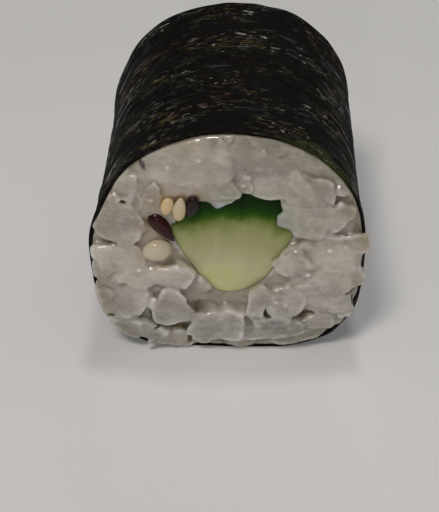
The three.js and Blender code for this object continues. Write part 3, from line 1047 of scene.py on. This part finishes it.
class Nodes:
    """Adds and links shader nodes. Noises are laid out by a first node, of this kind."""

    def __init__(self, name, kind="TexCoord", output="Object", **settings):
        self.material = bpy.data.materials.new(name)
        self.material.use_nodes = True
        self.tree = self.material.node_tree
        self.place = self.add(kind, {}, output, **settings)

    def plug(self, socket, value):
        """Sets a socket to a value, or links it to a node or to an attribute by its name."""
        if isinstance(value, str):
            value = self.add("Attribute", {}, "Fac", attribute_name=value)
        if isinstance(value, bpy.types.NodeSocket):
            self.tree.links.new(value, socket)
        else:
            socket.default_value = value

    def add(self, kind, inputs, output=0, **settings):
        node = self.tree.nodes.new("ShaderNode" + kind)
        for key, value in settings.items():
            setattr(node, key, value)
        for key, value in inputs.items():
            self.plug(node.inputs[key], value)
        return node.outputs[output]

    def noise(self, scale, detail=2, roughness=0.5, distortion=0):
        """Noise from 0 to 1. The scale is one number or one for each axis."""
        place = self.place
        if isinstance(scale, tuple):
            place = self.add("Mapping", {"Vector": place, "Scale": scale})
            scale = 1
        shape = {"Detail": detail, "Roughness": roughness, "Distortion": distortion}
        return self.add("TexNoise", {"Vector": place, "Scale": scale, **shape}, "Fac")

    def ramp(self, value, low, high, start=0, stop=1):
        """Start where the value is low, stop where it is high."""
        return self.add("MapRange", dict(enumerate((value, low, high, start, stop))))

    def blend(self, share, one, other):
        return self.add("Mix", {0: share, 6: one, 7: other}, 2, data_type="RGBA")

    def colours(self, value, stops):
        """A row of colours, each at its place from 0 to 1."""
        output = self.add("ValToRGB", {0: value})
        row = output.node.color_ramp.elements
        while len(row) < len(stops):
            row.new(0.5)
        for element, (place, colour) in zip(row, stops):
            element.position = place
            element.color = (*colour, 1)
        return output

    def chain(self, operation, value, *others):
        for other in others:
            value = self.add("Math", {0: value, 1: other}, operation=operation)
        return value

    def times(self, *values):
        return self.chain("MULTIPLY", *values)

    def plus(self, *values):
        return self.chain("ADD", *values)

    def bump(self, height, strength, distance):
        return self.add("Bump", {"Height": height, "Strength": strength, "Distance": distance})

    def paint(self, share, colour):
        """Lays a colour over the one so far."""
        self.colour = self.blend(share, self.colour, colour)

    def finish(self, **inputs):
        shader = self.tree.nodes["Principled BSDF"]
        self.plug(shader.inputs["Base Color"], self.colour)
        for key, value in inputs.items():
            self.plug(shader.inputs[key.replace("_", " ")], value)
        return self.material


def rice_material():
    nodes = Nodes("cooked_rice")
    ramp, noise, times = nodes.ramp, nodes.noise, nodes.times

    # Each grain's own tone, with clouds in it, and darker, cooler tones low down as painted shade
    cloudy = ramp(noise(450), 0.36, 0.64, -0.24, 0.24)
    patches = ramp(noise((150, 300, 340), 3, 0.6, 0.6), 0.4, 0.62, -0.2, 0.35)
    share = ramp(nodes.plus("tone", cloudy, patches), 0, 1)
    nodes.colour = nodes.blend("low", nodes.blend(share, *RICE_TONES), nodes.blend(share, *SHADED_LOW_RICE_TONES))

    # Painted highlights on sharp edges, paler starchy patches, small painted glints, and painted shade in
    # creases and pockets
    patchy = ramp(noise(380, 3), 0.4, 0.6, 0.2, 1)
    off_crown = ramp("crown", 0, 1, 1, 0.1)
    nodes.paint(times(ramp("ridge", 0.01, 0.1), patchy, off_crown), RICE_EDGE_HIGHLIGHT)
    starch = noise((900, 900, 1500), 4, 0.65)
    nodes.paint(ramp(starch, 0.5, 0.7, 0, 0.28), RICE_STARCH)
    # Small pale specks: painted glints
    nodes.paint(ramp(noise(3200, 3, 0.6), 0.58, 0.72, 0, 0.2), RICE_GLINT_SPECK)
    low_down = ramp("low", 0, 1, 0.5, 1)
    # Painted shade in creases, stronger low down
    nodes.paint(times(ramp("ridge", -0.03, -0.15, 0, 0.75), low_down), RICE_CREASE_SHADE)
    # Painted shade in pockets below the knife's height
    nodes.paint(times("pocket", 0.75), RICE_POCKET_SHADE)

    # Painted shade along the rim next to the nori, tints near the cucumber's skin and the seeds, and the red
    # of the nori scrap
    nodes.paint(times("rim", ramp(noise(260), 0.42, 0.7, 0, 0.6)), NORI_RIM_SHADE)
    nodes.paint(times("near_skin", 0.35), SKIN_STAIN)
    nodes.paint(times("near_seed", 0.7), SEED_STAIN)
    nodes.paint("scrap", SCRAP_RED)
    grain = noise(2200, 4, 0.6)
    height = nodes.plus(times(grain, 0.6), times(starch, 0.4))
    return nodes.finish(
        Roughness=ramp(noise(700), 0.35, 0.65, 0.22, 0.42),
        Normal=nodes.bump(height, 0.8, 0.00014),
        Subsurface_Weight=1,
        Subsurface_Radius=(1, 0.9, 0.78),
        Subsurface_Scale=0.0024,
        Specular_IOR_Level=0.6,
        Coat_Weight=0.9,
        Coat_IOR=1.75,
        Coat_Roughness=0.06,
    )


def nori_material():
    nodes = Nodes("nori", "Attribute", "Vector", attribute_name="sheet")
    ramp, noise, times = nodes.ramp, nodes.noise, nodes.times

    # Flecks of several colours in loose clusters, on nearly black: the sheet's own mottling and painted
    # glints
    clusters = ramp(noise((0.16, 0.26, 1), 3), 0.47, 0.6, 0.06, 1)
    flecks = ramp(noise((0.6, 1.7, 1), 4, 0.62, 1), 0.54, 0.68)
    bright = ramp(noise((0.8, 2.2, 5), 3, 0.6, 0.8), 0.62, 0.69)
    flecked = times(clusters, flecks)
    nodes.colour = nodes.blend(flecked, NORI_DARK, nodes.colours(noise((0.13, 0.2, 3)), NORI_MOTTLE_AND_GLINTS))
    # Grey patches: painted sheen
    nodes.paint(ramp(noise((0.28, 0.75, 11), 3, 0.6, 0.5), 0.6, 0.7, 0, 0.7), NORI_SHEEN_GREY)
    mottle = ramp(noise((0.5, 1.1, 9), 3, 0.6, 0.8), 0.42, 0.55, 0.05, 1)
    nodes.paint(times("thin", mottle), NORI_GREEN)
    # Bright painted glints among the flecks
    nodes.paint(times(clusters, bright), NORI_PAINTED_GLINT)

    # Painted sheen in silvery lines along the middle contours of a noise on the flanks, with thin, broken
    # painted highlights as cores; the lines are also glossier and raised
    centred = nodes.plus(noise((0.07, 0.6, 1), 4, 0.55), -0.5)
    line = nodes.add("Math", {0: centred}, operation="ABSOLUTE")
    bundles = ramp(noise((0.22, 0.22, 7), 2, 0.6), 0.44, 0.56)
    flanks = ramp("flank", 0.68, 0.9)
    lines = times(ramp(line, 0, 0.03, 1, 0), bundles, flanks)
    nodes.paint(lines, NORI_LINE_SHEEN)
    broken = ramp(noise((0.35, 0.9, 13), 3, 0.6), 0.46, 0.58)
    nodes.paint(times(ramp(line, 0, 0.012, 1, 0), lines, broken), NORI_LINE_HIGHLIGHT)
    shine = nodes.plus(flecked, lines)
    height = nodes.plus(times(flecks, 0.5), times(bright, 0.8), times(lines, 1.2))
    return nodes.finish(
        Roughness=ramp(shine, 0, 1, 0.8, 0.2),
        Normal=nodes.bump(height, 1, 0.00014),
        Specular_IOR_Level=0.1,
    )


def cucumber_material():
    nodes = Nodes("cucumber_flesh")
    ramp, noise, times = nodes.ramp, nodes.noise, nodes.times
    mottle = noise(420, 3)
    fibres = noise((1300, 1300, 220), 4, 0.6)
    wavy = ramp(mottle, 0.3, 0.7, -0.45, 0.45)
    fuzzy = ramp(fibres, 0.3, 0.7, -0.18, 0.18)
    depth = ramp(nodes.plus("skin", wavy, fuzzy), 0, FLESH_DEPTH)
    nodes.colour = nodes.colours(depth, STRIP_COLOURS)
    nodes.paint(times(ramp(fibres, 0.5, 0.7), ramp("skin", 3, 6, 0, 0.16)), STRIP_FIBRE)
    edge = ramp("edge", 0, 0.8, 0.3, 0)
    nodes.paint(times(edge, ramp("skin", 2.5, 4.5)), STRIP_BORDER)
    seedy = ramp(noise(800, 3, 0.6), 0.35, 0.6, 0.2, 0.75)
    nodes.paint(times("core", seedy), STRIP_CORE)
    return nodes.finish(
        Roughness=ramp(mottle, 0.3, 0.7, 0.3, 0.5),
        Normal=nodes.bump(noise(1500, 3), 0.35, 0.00005),
        Subsurface_Weight=0.4,
        Subsurface_Radius=(0.9, 1, 0.35),
        Subsurface_Scale=0.0004,
        Specular_IOR_Level=0.1,
    )


def seed_material(kind):
    nodes = Nodes("sesame_" + kind)
    raw, toasted, specular, coat, subsurface = SEED_LOOKS[kind]
    patches = nodes.ramp(nodes.noise(700, 3), 0.35, 0.68, -0.25, 0.25)
    share = nodes.ramp(nodes.plus("toasted", patches), 0, 1)
    nodes.colour = nodes.blend(share, raw, toasted)
    return nodes.finish(
        Roughness=nodes.ramp(patches, -0.25, 0.25, 0.24, 0.4),
        Normal=nodes.bump(nodes.noise(2000, 3), 0.4, 0.00005),
        Specular_IOR_Level=specular,
        Coat_Weight=coat,
        Coat_Roughness=0.08,
        Subsurface_Weight=subsurface,
        Subsurface_Radius=(1, 0.7, 0.4),
        Subsurface_Scale=0.0005,
    )


def floor_material():
    nodes = Nodes("pale_floor")
    nodes.colour = nodes.blend(nodes.noise(30), (0.8, 0.79, 0.78, 1), (0.84, 0.83, 0.82, 1))
    return nodes.finish(
        Roughness=0.7,
        Emission_Color=(1, 0.99, 0.98, 1),
        Emission_Strength=0.08,
    )


# ---- stage

def roll_place(across, along, up):
    return Vector(((np.array([across, along, up]) + PLACE) * MM).tolist())


def point_at(thing, ahead):
    """Turns a camera or a light to face along a vector."""
    thing.rotation_euler = ahead.to_track_quat("-Z", "Y").to_euler()


def make_camera():
    data = bpy.data.cameras.new("camera")
    data.lens = CAMERA_LENS
    data.sensor_width = 36
    data.clip_start = 0.01
    camera = add_object("camera", data)
    camera.location = roll_place(*CAMERA_PLACE)
    yaw, pitch = radians(CAMERA_YAW), radians(CAMERA_PITCH)
    level = cos(pitch)
    point_at(camera, Vector((sin(yaw) * level, cos(yaw) * level, -sin(pitch))))
    bpy.context.scene.camera = camera


def make_light(name, place, size, power, colour):
    data = bpy.data.lights.new(name, "AREA")
    data.size = size
    data.energy = power
    data.color = colour
    light = add_object(name, data)
    light.location = place
    point_at(light, roll_place(*LIGHT_TARGET) - light.location)


def make_stage():
    half = 1.5
    corners = [(-half, -half, 0), (half, -half, 0), (half, half, 0), (-half, half, 0)]
    mesh = bpy.data.meshes.new("floor")
    mesh.from_pydata(corners, [], [(0, 1, 2, 3)])
    mesh.materials.append(floor_material())
    floor = add_object("floor", mesh)
    floor.location.z = -0.00003

    world = bpy.data.worlds.new("studio")
    world.use_nodes = True
    backdrop = world.node_tree.nodes["Background"]
    backdrop.inputs["Color"].default_value = (1.0, 0.98, 0.96, 1)
    backdrop.inputs["Strength"].default_value = 0.06
    bpy.context.scene.world = world
    for light in LIGHTS:
        make_light(*light)
    bpy.context.scene.view_settings.view_transform = "Standard"


make_camera()
cuts = {end: filled(cut) for end, cut in CUTS.items()}
rice = make_rice(cuts, rice_material())
white_seeds = make_seeds(cuts, "white", seed_material("white"))
black_seeds = make_seeds(cuts, "black", seed_material("black"))
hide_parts("rice")
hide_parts("rice")
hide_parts("rice")
make_nori(nori_material())
make_cucumber(cucumber_material())
make_stage()
